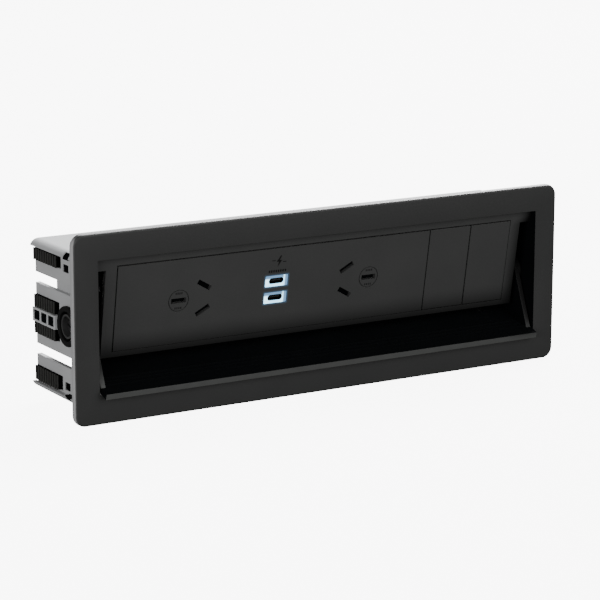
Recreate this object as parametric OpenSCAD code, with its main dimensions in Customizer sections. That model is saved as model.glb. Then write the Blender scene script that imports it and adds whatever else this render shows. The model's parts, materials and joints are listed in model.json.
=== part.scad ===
// In-desk power module: a framed recess with a swing-down lid, two mains sockets,
// a twin USB charger and two blank modules, held in a desk cut-out by its ribbed ends.
// X runs along the frame, +Y goes into the desk, +Z is up. The origin is the centre
// of the opening, on the rear face of the flange.

/* [Bezel] */
// Width of the bezel
bezel_w = 291.7; // [288:0.1:320]
// Height of the bezel
bezel_h = 96.9; // [94:0.1:110]
// How far the bezel's middle sits below the middle of the opening
bezel_drop = 0.6; // [0:0.1:1]
// Thickness of the flange that lies on the desk
flange_t = 3.5; // [2.8:0.1:4]
// Radius of the bezel's four corners
bezel_corner_r = 4; // [3:0.5:10]
// Radius of the rounded front edge
bezel_edge_r = 1.4; // [0.5:0.1:2]
// Width of the opening
opening_w = 264.4; // [262:0.1:266]
// Height of the opening
opening_h = 68.2; // [67.6:0.1:69]
// Depth of the recess in the flange's rear face that locates the shells
rebate = 0.4; // [0.3:0.1:0.8]
// Depth of the side walls behind the flange
collar_depth = 15.5; // [12:0.5:16]
// Thickness of the side walls behind the flange
collar_t = 1.6; // [1:0.1:2]
// Clearance of the side walls round the lid's hubs
collar_gap = 1.2; // [1:0.1:2]

/* [Housing] */
// Width over the two shells
shell_w = 282.6; // [281.6:0.1:284]
// Height over the two shells
shell_h = 77.6; // [77:0.1:80]
// Depth of the housing behind the bezel's front face
shell_depth = 59.8; // [59:0.1:70]
// How far the housing sits below the middle of the opening
shell_drop = 2.6; // [2.4:0.1:3]
// Thickness of the shells
shell_t = 2; // [1.2:0.1:2.2]
// Outer radius of the shells' corners
shell_r = 5; // [4.5:0.1:6]
// Height of the shells' turned sides
shell_side = 3.4; // [3:0.1:3.6]

/* [End frames] */
// How far the end plates lie inside the shells' sides
end_inset = 3.3; // [3:0.1:3.6]
// Thickness of the end plates
end_t = 2.5; // [2:0.1:3]
// Distance of the gaps from the middle line
gap_from_middle = 15.9; // [15.5:0.1:16.5]
// Height of the gaps
gap_h = 5.6; // [4:0.1:6]
// Depth at which the gaps start
gap_start = 12; // [10:0.5:14]
// Depth at which the web behind the upper gap ends
web_end = 40.4; // [30:0.1:50]
// Thickness of that web
web_t = 1.5; // [1:0.1:2]
// Depth at which the two small windows start
window_start = 21.4; // [20:0.1:22]
// Length of the two small windows
window_len = 6.4; // [5:0.1:6.6]
// Height of the two small windows
window_h = 4.1; // [3:0.1:4.2]
// Distance of the upper pair of windows from the middle line
window_upper = 27; // [26.8:0.1:27.2]
// Distance of the lower pair of windows from the middle line
window_lower = 29.4; // [29:0.1:29.5]
// Depth at which the windows in the shells' corners start
corner_start = 16; // [15:0.1:18]
// Distance of those windows from the middle line
corner_low = 34.6; // [34.5:0.1:35]
// Height of those windows
corner_h = 3.4; // [3:0.1:3.6]
// Rim of the end plates behind the grips
rear_rim = 0.9; // [0.7:0.1:1.5]

/* [Grips] */
// Distance of the upper grip from the middle line
grip_upper = 28; // [27.5:0.1:28.2]
// Height of the upper grip
grip_upper_h = 6.3; // [5:0.1:6.5]
// Distance of the lower grip from the middle line
grip_lower = 27.2; // [26.8:0.1:27.6]
// Height of the lower grip
grip_lower_h = 7.6; // [6:0.1:7.8]
// Height of the middle grip's ribs
mid_grip_h = 6.6; // [6:0.1:7.2]
// Plain lead of an outer grip in front of its first rib
slot_lead = 2.6; // [1:0.1:2.7]
// How far the ribs stand out of the end plates
grip_proud = 1.7; // [1:0.1:2.5]
// Number of ribs on a grip
rib_n = 10; // [6:1:12]
// Distance from rib to rib
rib_pitch = 2.75; // [2.6:0.05:2.8]
// Width of a rib
rib_w = 1.5; // [1:0.1:1.8]
// Thickness of the grips' backing behind the end plates
backing_t = 1.2; // [0.8:0.1:1.4]
// Depth of the black inserts below the face of the end plates
insert_depth = 0.5; // [0.2:0.1:1]

/* [Ladder clips] */
// Height of the ladder clip
ladder_h = 7.2; // [6.8:0.1:7.6]
// Width of the clip's long bars
ladder_bar = 1.1; // [0.8:0.1:1.5]
// Width of the clip's rungs
rung_w = 1.7; // [1.2:0.1:2]
// How far the clip stands out of the end plates
ladder_proud = 2.7; // [2:0.1:3.2]

/* [Lid] */
// Depth of the lid's pivot behind the bezel's front face
pivot_depth = 22; // [21.8:0.1:22.2]
// Distance of the pivot below the middle of the opening
pivot_drop = 2.4; // [2.2:0.1:2.6]
// Angle through which the lid opens
lid_angle = 110; // [90:1:110]
// Thickness of the lid
lid_t = 2.8; // [2:0.1:2.9]
// Thickness of the lid's lip
lip_t = 3.2; // [3:0.1:3.4]
// Width of the lip
lip_w = 6; // [4:0.5:8]
// Thickness of the lid's side cheeks
cheek_t = 2.7; // [2:0.1:2.9]
// Distance of a cheek's corner from the lip's edge
cheek_inset = 5.6; // [5:0.1:8]
// Height of the cable slot under the closed lid
cable_slot = 6; // [4.5:0.1:8]
// Radius of the pivot hubs
hub_r = 9.2; // [8:0.1:9.4]
// Thickness of a hub's wall
hub_wall = 1.6; // [1.2:0.1:2]
// Depth of the cup in a hub
hub_cup = 4; // [2:0.1:4.4]
// Width of the flange round a hub, outside the end plate
hub_collar = 1.1; // [0.8:0.1:1.6]
// Height of the fine ridges on the inside of the lid
ridge_h = 0.4; // [0.2:0.05:0.5]
// Width of those ridges
ridge_w = 0.8; // [0.5:0.1:1.2]
// Distance from ridge to ridge, and of the first from the lip
ridge_step = 3; // [2:0.5:4]
// Distance of a hub's small windows from the pivot
hub_window_in = 4.2; // [3.4:0.1:4.6]
// Distance of those windows' outer edges from the pivot
hub_window_out = 7; // [6:0.1:7.2]
// Width of a hub's small windows
hub_window_w = 3.8; // [3:0.1:4]
// Radius of a fixing screw's thread
screw_r = 1.5; // [1.2:0.05:1.6]
// Radius of a fixing screw's head
screw_head_r = 2.8; // [2.4:0.1:3]
// Height of a fixing screw's head
screw_head_h = 1.8; // [1.4:0.1:2]
// Width of a fixing screw's slot
screw_slot = 0.8; // [0.6:0.1:1]

/* [Fascia] */
// Depth of the fascia behind the bezel's front face, at the middle
fascia_depth = 9.7; // [9.6:0.05:9.8]
// Lean of the fascia, top towards the front
fascia_tilt = 9.6; // [9.3:0.1:9.8]
// Thickness of the fascia frame
fascia_t = 2.5; // [2:0.1:3]
// Width of the fascia between the lid's cheeks
fascia_w = 251; // [249:0.1:252]
// Height of the fascia below the middle
fascia_down = 19; // [18.8:0.1:19.2]
// Height of the fascia above the middle
fascia_up = 34.2; // [33.8:0.1:34.3]
// Height of the full-width top bar
top_bar_h = 6.2; // [5:0.1:7]
// Width of the row of modules
row_w = 238.6; // [236:0.1:242]
// Height of the row of modules above the middle
row_up = 30; // [29.5:0.1:30.2]
// Height of the row of modules below the middle
row_down = 16.2; // [15.8:0.1:16.4]
// Width of a blank module
blank_w = 26.3; // [24:0.1:28]
// Thickness of the module plates
plate_t = 2.2; // [1.6:0.1:2.4]
// Gap round each module plate
plate_gap = 0.25; // [0.15:0.05:0.4]

/* [Sockets] */
// Position of the left socket along the fascia
socket_left_x = -72.9; // [-80:0.1:-70]
// Position of the right socket along the fascia
socket_right_x = 19.9; // [15:0.1:24]
// Height of the sockets above the middle of the fascia
socket_up = 7.2; // [6.5:0.1:8]
// Distance of the earth slot from the socket's centre
earth_offset = 10.3; // [10:0.05:10.6]
// Distance of the live slots from the socket's centre
live_offset = 7.92; // [7.8:0.01:8]
// Angle of the live slots
live_angle = 30; // [28:1:32]
// Length of a slot
slot_len = 7.6; // [7:0.1:8]
// Width of a slot
slot_w = 2.3; // [2:0.1:2.5]
// Radius of the ring pressed round the earth slot
ring_r = 6.5; // [6:0.1:6.8]
// Width and depth of that ring
ring_w = 0.5; // [0.3:0.05:0.6]
// Length of a socket body
socket_body_w = 38; // [36:0.5:42]
// Height of a socket body
socket_body_h = 32; // [28:0.5:33]
// Depth of a socket body
socket_body_d = 20; // [18:0.5:22]
// How far a socket body sits below its socket's centre
body_drop = 1; // [0:0.1:1.5]
// Width of the chambers behind the slots
chamber_w = 4.6; // [4.2:0.1:5]
// Length of the chambers behind the slots
chamber_len = 9.4; // [9:0.1:9.8]
// Thickness of the contact springs
contact_t = 0.6; // [0.4:0.05:0.8]
// Gap between the two leaves of a contact
contact_gap = 1.4; // [1.2:0.1:1.8]
// Length of a contact's leaves along the slot
contact_len = 6.4; // [5:0.1:7]
// Length of a contact's tail along the slot
tail_len = 3.6; // [3:0.1:3.8]
// Thickness of a contact's tail
tail_t = 1; // [0.8:0.1:1.2]
// Depth of a contact's leaves behind the plate
contact_lead = 1.5; // [1:0.1:3]
// Floor of the chambers in a socket body
chamber_floor = 2; // [1.5:0.1:3]

/* [USB charger] */
// Position of the USB ports along the fascia
usb_x = -26.3; // [-28:0.1:-24]
// Height of the upper port above the middle of the fascia
usb_up = 11.4; // [11:0.1:12]
// Distance between the two ports
usb_pitch = 9.2; // [8.5:0.1:9.5]
// Width of a port's light frame
light_w = 13.3; // [12:0.1:14]
// Height of a port's light frame
light_h = 5.9; // [5.4:0.1:6.4]
// Corner radius of a port's light frame
light_r = 0.5; // [0.3:0.1:1]
// Width of the connector shell
usb_shell_w = 9; // [8.9:0.1:9.2]
// Height of the connector shell
usb_shell_h = 3.3; // [3.2:0.1:3.4]
// Thickness of the connector shell
usb_shell_t = 0.3; // [0.25:0.05:0.4]
// Corner radius of the connector shell
usb_shell_r = 1.6; // [1.2:0.1:1.6]
// Length of the connector shell
usb_shell_len = 9.5; // [8:0.1:10]
// How far a connector sits behind the fascia's face
usb_set = 0.6; // [0.3:0.1:1]
// How far a tongue sits behind its shell's mouth
tongue_set = 1; // [0.8:0.1:1.5]
// Thickness of the block at a tongue's root
tongue_base = 2.5; // [2:0.1:3]
// How far a light frame sits behind the fascia's face
light_set = 0.2; // [0.1:0.05:0.4]
// Thickness of the circuit board
board_t = 1.6; // [1.2:0.1:2]
// Width of the charger block
charger_w = 22; // [20:0.5:24]
// Height of the charger block
charger_h = 26; // [22:0.5:26]
// Thickness of the charger block's walls
charger_wall = 1.4; // [1:0.1:2]
// Width of a connector's tongue
tongue_w = 6.6; // [6.4:0.1:6.8]
// Thickness of a connector's tongue
tongue_t = 0.7; // [0.6:0.05:0.8]

/* [Module casing] */
// Depth of the casing behind the fascia's face
casing_depth = 32; // [30:0.5:33]
// Height of the casing above the middle of the fascia
casing_up = 26.5; // [26:0.1:27]
// Height of the casing below the middle of the fascia
casing_down = 13.6; // [13:0.1:14]
// Thickness of the casing's walls
casing_wall = 1.8; // [1.2:0.1:2.2]
// Width of the ears that hold the casing to the fascia frame
ear_w = 5.8; // [5.6:0.1:6]
// Height of those ears
ear_h = 7; // [6:0.5:9]
// Thickness of those ears
ear_t = 3; // [2:0.1:4]
// Height of the lower ears on the fascia
ear_low = -8; // [-9:0.5:-6]
// Height of the upper ears on the fascia
ear_high = 16; // [10:0.5:20]
// Width of the arms that carry the casing on the end plates
arm_w = 10; // [6:1:14]
// Thickness of those arms
arm_t = 3; // [2:0.1:3.2]
// Depth at which those arms end, behind the bezel's front face
arm_end = 38.4; // [34:0.1:40]
// Depth of an ear's screw in the fascia frame
screw_bite = 1.8; // [1.2:0.1:1.9]
// Thickness of the busbars
busbar_t = 0.8; // [0.6:0.1:1]
// Width of the busbars
busbar_w = 2.8; // [2.2:0.1:2.9]
// Distance in depth from one busbar to the next
busbar_step = 2; // [1.6:0.1:2.2]
// Distance of two busbars from the sockets' middle line
busbar_rise = 3.6; // [3.2:0.1:4]
// Distance of the earth busbar below that line
busbar_drop = 11.6; // [11:0.1:12]
// Distance from one inlet pin to the next
pin_pitch = 5.5; // [5:0.1:6]
// Position of the power inlet along the casing
inlet_x = 80; // [70:1:90]
// Width of the power inlet
inlet_w = 22; // [20:0.5:26]
// Height of the power inlet
inlet_h = 14; // [12:0.5:16]
// Length of the power inlet outside the casing
inlet_len = 12; // [8:0.5:13]
// Thickness of the power inlet's walls
inlet_wall = 2; // [1.5:0.1:2.4]
// Radius of an inlet pin
pin_r = 1.5; // [1:0.1:2]

/* [Fits] */
// Clearance of moving parts
move_gap = 0.5; // [0.4:0.05:0.6]
// Running clearance of a hub in its bearing
hub_gap = 0.05; // [0.02:0.01:0.1]
// Clearance of inserted pieces
fit_gap = 0.1; // [0.05:0.05:0.2]
// Clearance of the small pieces of a connector
usb_fit = 0.01; // [0.01:0.01:0.02]

/* [Hidden] */
$fn = 48;
// Overlap that lets a cut pass a face or joins two solids
cut = 1;
// Half width of the shells, and the planes of the end plates
shell_x = shell_w / 2;
end_x = shell_x - end_inset;
end_in_x = end_x - end_t;
// Inner face of the shells, counted from the middle line
shell_in = shell_h / 2 - shell_t;
// Depth of the shells' front edges, in the flange's recess
shell_start = flange_t - rebate;
// Pivot of the lid in the side view
pivot = [pivot_depth, -pivot_drop];
// The closed lid's edges and half width
lid_top = opening_h / 2 - move_gap;
lid_bottom = cable_slot - opening_h / 2;
lid_x = opening_w / 2 - 2 * move_gap;
// A cheek's corners on the closed lid
cheek_top = lid_top - cheek_inset;
cheek_foot = lid_bottom + cheek_inset;
// Ribs and grips in the depth direction
rib_end = shell_depth - rear_rim;
rib_start = rib_end - (rib_n - 1) * rib_pitch - rib_w;
slot_start = rib_start - slot_lead;
mid_rib_start = pivot_depth + hub_r + hub_gap + hub_collar + plate_gap;
mid_grip_from_middle = ladder_h / 2;
backing_rim = gap_h / 5;
// Arms of the casing, above the gaps
arm_low = gap_from_middle + gap_h + cut;
// Edges of the main module plate
row_left = -row_w / 2;
row_right = row_w / 2;
blank_edge = row_right - 2 * blank_w;
// Casing half width and the planes inside it
casing_x = row_w / 2;
body_back = plate_t + socket_body_d;
busbar_plane = body_back + contact_t;
usb_back = usb_set + usb_shell_len;
board_x = charger_w / 2 - charger_wall;
board_z = charger_h / 2 - charger_wall;
// Heights of the three busbars' runs, clear of each other's contact tails
active_level = socket_up + busbar_rise;
neutral_level = socket_up - busbar_rise;
earth_level = socket_up - busbar_drop;

// Places what is counted from the bezel's front face
module from_face() {
    translate([0, -flange_t, 0]) children();
}

// Places what is counted from the housing's middle line
module from_middle() {
    from_face() translate([0, 0, -shell_drop]) children();
}

// Places what is counted from the fascia: X along it, Y behind it, Z up its slope
module on_fascia() {
    from_face() translate([0, fascia_depth, 0]) rotate([fascia_tilt, 0, 0]) children();
}

// Turns the closed lid to its open place
module lid_open() {
    from_face() translate([0, pivot[0], pivot[1]])
        rotate([lid_angle, 0, 0]) translate([0, -pivot[0], -pivot[1]]) children();
}

// Draws on the right, or mirrored on the left
module at_side(side) {
    if (side < 0) mirror([1, 0, 0]) children();
    else children();
}

// Slab of an outline in the X and Z plane, from depth y0 to y1
module slab(y0, y1) {
    translate([0, y1, 0]) rotate([90, 0, 0]) linear_extrude(y1 - y0) children();
}

// Plate of a side outline in the Y and Z plane, from x0 to x1
module side_plate(x0, x1) {
    translate([x0, 0, 0]) rotate([90, 0, 90]) linear_extrude(x1 - x0) children();
}

// Box from its low corner to its high corner
module box(lo, hi) {
    translate(lo) cube(hi - lo);
}

// Rounded rectangle about the centre, as an outline
module round_rect(w, h, r) {
    union() {
        square([w - 2 * r, h], center = true);
        square([w, h - 2 * r], center = true);
        for (sx = [-1, 1], sz = [-1, 1])
            translate([sx * (w / 2 - r), sz * (h / 2 - r)]) circle(r);
    }
}

// Where a line from point p touches a circle of radius r about c
function touch(p, c, r, side) =
    let (d = p - c, turn = atan2(d[1], d[0]) + side * acos(r / norm(d)))
    c + r * [cos(turn), sin(turn)];

// Plate with rounded corners and a rounded front edge
module soft_plate(w, h, t, corner, edge) {
    slab(edge, t) round_rect(w, h, corner);
    slab(0, t) round_rect(w - 2 * edge, h - 2 * edge, corner - edge);
    for (sz = [-1, 1])
        translate([0, edge, sz * (h / 2 - edge)]) rotate([0, 90, 0])
            cylinder(r = edge, h = w - 2 * corner, center = true);
    for (sx = [-1, 1])
        translate([sx * (w / 2 - edge), edge, 0])
            cylinder(r = edge, h = h - 2 * corner, center = true);
    for (sx = [-1, 1], sz = [-1, 1])
        translate([sx * (w / 2 - corner), edge, sz * (h / 2 - corner)]) rotate([90, 0, 0])
            rotate_extrude() intersection() {
                translate([corner - edge, 0]) circle(edge);
                translate([0, -edge]) square([corner, 2 * edge]);
            }
}

// Flange and the side walls that guide the lid
module bezel() {
    color([0.16, 0.16, 0.16]) from_face() difference() {
        union() {
            difference() {
                translate([0, 0, -bezel_drop])
                    soft_plate(bezel_w, bezel_h, flange_t, bezel_corner_r, bezel_edge_r);
                translate([0, 0, -shell_drop]) slab(shell_start, flange_t + cut)
                    round_rect(shell_w + 2 * fit_gap, shell_h + 2 * fit_gap, shell_r + fit_gap);
            }
            for (side = [-1, 1])
                at_side(side)
                    box([opening_w / 2 - cut, cut, -opening_h / 2],
                        [opening_w / 2 + collar_t, flange_t + collar_depth, opening_h / 2]);
        }
        slab(-cut, flange_t + collar_depth + cut) square([opening_w, opening_h], center = true);
        translate([0, pivot_depth, -pivot_drop]) rotate([0, 90, 0])
            cylinder(r = hub_r + collar_gap, h = opening_w + 4 * collar_t, center = true);
    }
}

// Channel with rounded corners; the lower shell is the same piece turned over
module shell_channel() {
    difference() {
        slab(shell_start, shell_depth) difference() {
            round_rect(shell_w, shell_h, shell_r);
            round_rect(shell_w - 2 * shell_t, shell_h - 2 * shell_t, shell_r - shell_t);
            translate([0, -shell_side]) square([shell_w + 2 * cut, shell_h], center = true);
        }
        for (side = [-1, 1])
            at_side(side) children();
    }
}

// Cut for a small window in a shell's rounded corner
module corner_window() {
    box([end_in_x, corner_start, corner_low],
        [shell_x + cut, corner_start + window_len, corner_low + corner_h]);
}

module shell_top() {
    color([0.82, 0.83, 0.83]) from_middle() shell_channel() corner_window();
}

module shell_bottom() {
    color([0.82, 0.83, 0.83]) from_middle() mirror([0, 0, 1])
        shell_channel() corner_window();
}

// Outline of a slot from depth y0 to y1, from height z0, h high
module slot_2d(y0, y1, z0, h) {
    translate([y0, z0]) square([y1 - y0, h]);
}

// Side outline of an end plate with its gaps, windows and grip slots
module end_outline() {
    difference() {
        translate([shell_start, -shell_in]) square([shell_depth - shell_start, 2 * shell_in]);
        for (side = [-1, 1])
            scale([1, side]) {
                slot_2d(gap_start, shell_depth + cut, gap_from_middle, gap_h);
                slot_2d(mid_rib_start, rib_end, mid_grip_from_middle, mid_grip_h);
                slot_2d(corner_start, corner_start + window_len, corner_low, corner_h);
            }
        slot_2d(slot_start, rib_end, grip_upper, grip_upper_h);
        slot_2d(slot_start, rib_end, -grip_lower - grip_lower_h, grip_lower_h);
        slot_2d(mid_rib_start, rib_end, -mid_grip_from_middle, 2 * mid_grip_from_middle);
        for (low = [window_upper, -window_lower - window_h])
            slot_2d(window_start, window_start + window_len, low, window_h);
    }
}

// End plate with the lid's bearing and the web behind the upper gap
module end_frame(side) {
    pivot_mid = [pivot_depth, shell_drop - pivot_drop];
    color([0.85, 0.86, 0.86]) from_middle() at_side(side) difference() {
        union() {
            intersection() {
                side_plate(end_in_x, end_x) end_outline();
                slab(shell_start, shell_depth)
                    round_rect(shell_w - 2 * shell_t, shell_h - 2 * shell_t, shell_r - shell_t + fit_gap);
            }
            side_plate(end_in_x - web_t, end_in_x)
                slot_2d(gap_start - cut, web_end, gap_from_middle - cut, gap_h + 2 * cut);
        }
        translate([end_in_x - cut, pivot_mid[0], pivot_mid[1]]) rotate([0, 90, 0])
            cylinder(r = hub_r + hub_gap, h = end_t + 2 * cut);
    }
}

// Row of upright ribs on a core, standing out of an end plate
module rib_row(first, count, low, height) {
    core_x = end_x - insert_depth;
    box([end_in_x, first, low + fit_gap],
        [core_x, rib_end - fit_gap, low + height - fit_gap]);
    for (i = [0 : count - 1])
        box([core_x - cut / 2, rib_end - fit_gap - rib_w - i * rib_pitch, low + fit_gap],
            [end_x + grip_proud, rib_end - fit_gap - i * rib_pitch, low + height - fit_gap]);
}

// Outer grip: a ribbed block, two window inserts and the backing that joins them
module outer_grip(side, flip, grip_low, grip_h, window_low) {
    low = min(grip_low, window_low);
    color([0.07, 0.07, 0.07]) from_middle() at_side(side) scale([1, 1, flip]) {
        box([end_in_x - backing_t, corner_start, low - backing_rim],
            [end_in_x, rib_end, shell_in - plate_gap]);
        rib_row(slot_start + fit_gap, rib_n, grip_low, grip_h);
        box([end_in_x, window_start + fit_gap, window_low + fit_gap],
            [end_x - insert_depth, window_start + window_len - fit_gap,
             window_low + window_h - fit_gap]);
        corner_insert();
    }
}

// Insert that fills a corner window a little below the shell's rounded face
module corner_insert() {
    slab(corner_start + fit_gap, corner_start + window_len - fit_gap) intersection() {
        round_rect(shell_w - 2 * insert_depth, shell_h - 2 * insert_depth, shell_r - insert_depth);
        translate([end_in_x, corner_low + fit_gap])
            square([end_inset + end_t, corner_h - 2 * fit_gap]);
    }
}

// Middle grip: two rows of ribs and the plain band behind the ladder clip
module middle_grip(side) {
    count = floor((rib_end - mid_rib_start) / rib_pitch);
    reach = mid_grip_from_middle + mid_grip_h;
    color([0.07, 0.07, 0.07]) from_middle() at_side(side) {
        box([end_in_x - backing_t, mid_rib_start, -reach - backing_rim],
            [end_in_x, rib_end, reach + backing_rim]);
        box([end_in_x, mid_rib_start + fit_gap, -mid_grip_from_middle - 2 * fit_gap],
            [end_x - insert_depth, rib_end - fit_gap, mid_grip_from_middle + 2 * fit_gap]);
        for (flip = [-1, 1])
            scale([1, 1, flip])
                rib_row(mid_rib_start + fit_gap, count, mid_grip_from_middle, mid_grip_h);
    }
}

// Ladder clip that bridges the middle grip's two rows of ribs
module ladder_clip(side) {
    clip_start = mid_rib_start + fit_gap;
    clip_end = rib_end - fit_gap;
    bay = (clip_end - clip_start - 4 * rung_w) / 3;
    color([0.85, 0.86, 0.86]) from_middle() at_side(side)
        side_plate(end_x - insert_depth, end_x + ladder_proud) difference() {
            translate([clip_start, -ladder_h / 2]) square([clip_end - clip_start, ladder_h]);
            for (i = [0 : 2])
                translate([clip_start + rung_w + i * (bay + rung_w), ladder_bar - ladder_h / 2])
                    square([bay, ladder_h - 2 * ladder_bar]);
        }
}

// Closed lid: plate, lip, two cheeks and fine ridges, drawn as it closes the opening
module lid() {
    color([0.16, 0.16, 0.16]) lid_open() {
        box([-lid_x, 0, lid_bottom], [lid_x, lid_t, lid_top]);
        box([-lid_x, 0, lid_top - lip_w], [lid_x, lip_t, lid_top]);
        for (side = [-1, 1])
            at_side(side) lid_cheek();
        for (i = [1 : 3], z = [lid_top - lip_w - i * ridge_step, lid_bottom + i * ridge_step])
            box([cheek_t - lid_x, lid_t, z], [lid_x - cheek_t, lid_t + ridge_h, z + ridge_w]);
    }
}

// Side cheek that runs from the lid to its hub
module lid_cheek() {
    top = [lid_t / 2, cheek_top];
    foot = [lid_t / 2, cheek_foot];
    difference() {
        side_plate(lid_x - cheek_t, lid_x) union() {
            polygon([top, touch(top, pivot, hub_r, -1), pivot, touch(foot, pivot, hub_r, 1), foot]);
            translate(pivot) circle(hub_r);
        }
        translate([lid_x - cheek_t - cut, pivot[0], pivot[1]]) rotate([0, 90, 0])
            cylinder(r = screw_r, h = cheek_t + 2 * cut);
        hub_windows(lid_x - cheek_t - cut, lid_x + cut);
    }
}

// Four small windows through the cheek and the floor of its hub
module hub_windows(x0, x1) {
    side_plate(x0, x1) translate(pivot)
        for (turn = [45 : 90 : 315])
            rotate(turn - lid_angle)
                polygon([[hub_window_in, 0], [hub_window_out, hub_window_w / 2],
                         [hub_window_out, -hub_window_w / 2]]);
}

// Cup-shaped hub that carries the lid in an end frame
module lid_hub(side) {
    face_x = end_x + grip_proud;
    color([0.1, 0.1, 0.1]) lid_open() at_side(side) difference() {
        union() {
            translate([lid_x, pivot[0], pivot[1]]) rotate([0, 90, 0])
                cylinder(r = hub_r, h = face_x - lid_x);
            translate([end_x + fit_gap, pivot[0], pivot[1]]) rotate([0, 90, 0])
                cylinder(r = hub_r + hub_collar, h = grip_proud - fit_gap);
        }
        translate([face_x - hub_cup, pivot[0], pivot[1]]) rotate([0, 90, 0])
            cylinder(r = hub_r - hub_wall, h = hub_cup + cut);
        translate([lid_x - cut, pivot[0], pivot[1]]) rotate([0, 90, 0])
            cylinder(r = screw_r, h = face_x);
        hub_windows(lid_x - cut, face_x);
    }
}

// Cheese-head screw along +X, head at the far end
module screw(len) {
    rotate([0, 90, 0]) difference() {
        union() {
            cylinder(r = screw_r, h = len);
            translate([0, 0, len]) cylinder(r = screw_head_r, h = screw_head_h);
        }
        translate([-screw_head_r - cut, -screw_slot / 2, len + screw_head_h / 2])
            cube([2 * (screw_head_r + cut), screw_slot, screw_head_h]);
    }
}

// One screw through each hub into its cheek
module hub_screws() {
    floor_x = end_x + grip_proud - hub_cup;
    color([0.6, 0.6, 0.62]) lid_open()
        for (side = [-1, 1])
            at_side(side) translate([lid_x - cheek_t, pivot[0], pivot[1]])
                screw(floor_x - lid_x + cheek_t);
}

// Fascia frame: a full-width top bar over a narrower plate that clears the cheeks
module fascia_frame() {
    bar_x = opening_w / 2 - fit_gap;
    color([0.16, 0.16, 0.16]) on_fascia() difference() {
        slab(0, fascia_t) difference() {
            union() {
                translate([-fascia_w / 2, -fascia_down]) square([fascia_w, fascia_down + fascia_up]);
                translate([-bar_x, fascia_up - top_bar_h]) square([2 * bar_x, top_bar_h]);
            }
            translate([row_left, -row_down]) square([row_w, row_down + row_up]);
        }
        at_ears() translate([0, fascia_t - screw_bite, 0]) rotate([-90, 0, 0])
            cylinder(r = screw_r, h = screw_bite + cut);
    }
}

// Places the four ears that join the casing to the fascia frame
module at_ears() {
    for (side = [-1, 1], z = [ear_low, ear_high])
        translate([side * (casing_x + ear_w / 2), 0, z]) children();
}

// Slots of one socket as outlines; turned is 1 with the earth on the left, -1 on the right
module socket_slots(turned, len, wide) {
    translate([-turned * earth_offset, 0]) square([len, wide], center = true);
    for (up = [-1, 1])
        translate([turned * live_offset * cos(60), up * live_offset * sin(60)])
            rotate(-turned * up * live_angle) square([len, wide], center = true);
}

// Front plate of the socket and charger module
module socket_plate() {
    color([0.16, 0.16, 0.16]) on_fascia() difference() {
        box([row_left + plate_gap, 0, plate_gap - row_down],
            [blank_edge - plate_gap / 2, plate_t, row_up - plate_gap]);
        for (s = [[socket_left_x, 1], [socket_right_x, -1]])
            translate([s[0], 0, socket_up]) {
                slab(-cut, plate_t + cut) socket_slots(s[1], slot_len, slot_w);
                slab(-cut, ring_w) translate([-s[1] * earth_offset, 0]) difference() {
                    circle(ring_r + ring_w / 2);
                    circle(ring_r - ring_w / 2);
                }
            }
        for (z = [usb_up, usb_up - usb_pitch])
            translate([usb_x, 0, z]) slab(-cut, plate_t + cut)
                round_rect(light_w + 2 * fit_gap, light_h + 2 * fit_gap, light_r + fit_gap);
    }
}

// Blank module, the first beside the socket plate, the second at the row's end
module blank_module(place) {
    left = blank_edge + place * blank_w;
    color([0.16, 0.16, 0.16]) on_fascia()
        box([left + plate_gap / 2, 0, plate_gap - row_down],
            [left + blank_w - plate_gap * (place + 1) / 2, plate_t, row_up - plate_gap]);
}

// Socket body with a chamber behind each slot
module socket_body(x, turned) {
    color([0.12, 0.12, 0.12]) on_fascia() translate([x, 0, socket_up]) difference() {
        box([-socket_body_w / 2, plate_t, -socket_body_h / 2 - body_drop],
            [socket_body_w / 2, body_back, socket_body_h / 2 - body_drop]);
        slab(plate_t - cut, body_back - chamber_floor) socket_slots(turned, chamber_len, chamber_w);
        slab(plate_t, body_back + cut)
            socket_slots(turned, tail_len + 4 * fit_gap, tail_t + 4 * fit_gap);
    }
}

// Place of a contact on the fascia: which is 0 for the earth, 1 or -1 for the upper or lower slot
function contact_place(x, turned, which) = which == 0
    ? [x - turned * earth_offset, socket_up]
    : [x + turned * live_offset * cos(60), socket_up + which * live_offset * sin(60)];

// Contact of two leaves on a base, with a tail through the socket body's back to its busbar
module contact(layer) {
    reach = body_back - chamber_floor;
    half = contact_len / 2;
    for (side = [-1, 1])
        translate([0, 0, side * (contact_gap + contact_t) / 2])
            box([-half, plate_t + contact_lead, -contact_t / 2], [half, reach, contact_t / 2]);
    box([-half, reach - contact_t, -contact_gap / 2 - contact_t],
        [half, reach, contact_gap / 2 + contact_t]);
    box([-tail_len / 2, reach - contact_t, -tail_t / 2],
        [tail_len / 2, busbar_plane + layer * busbar_step, tail_t / 2]);
}

// One contact of a socket, turned to its slot
module contact_at(x, turned, which, layer) {
    place = contact_place(x, turned, which);
    color([0.78, 0.6, 0.32]) on_fascia() translate([place[0], 0, place[1]])
        rotate([0, turned * which * live_angle, 0]) contact(layer);
}

// Busbar that joins one contact of each socket and runs to its inlet pin, in a layer of its own
module busbar(left_at, right_at, level, layer) {
    y0 = busbar_plane + layer * busbar_step;
    y1 = y0 + busbar_t;
    half = busbar_w / 2;
    pin_at = [inlet_x + (layer - 1) * pin_pitch, socket_up];
    color([0.78, 0.6, 0.32]) on_fascia() {
        box([left_at[0] - half, y0, level - half], [pin_at[0] + half, y1, level + half]);
        for (p = [left_at, right_at, pin_at])
            box([p[0] - half, y0, min(p[1] - tail_t, level - half)],
                [p[0] + half, y1, max(p[1] + tail_t, level + half)]);
        box([pin_at[0] - tail_t, y1, pin_at[1] - tail_t],
            [pin_at[0] + tail_t, casing_depth - casing_wall, pin_at[1] + tail_t]);
    }
}

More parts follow.
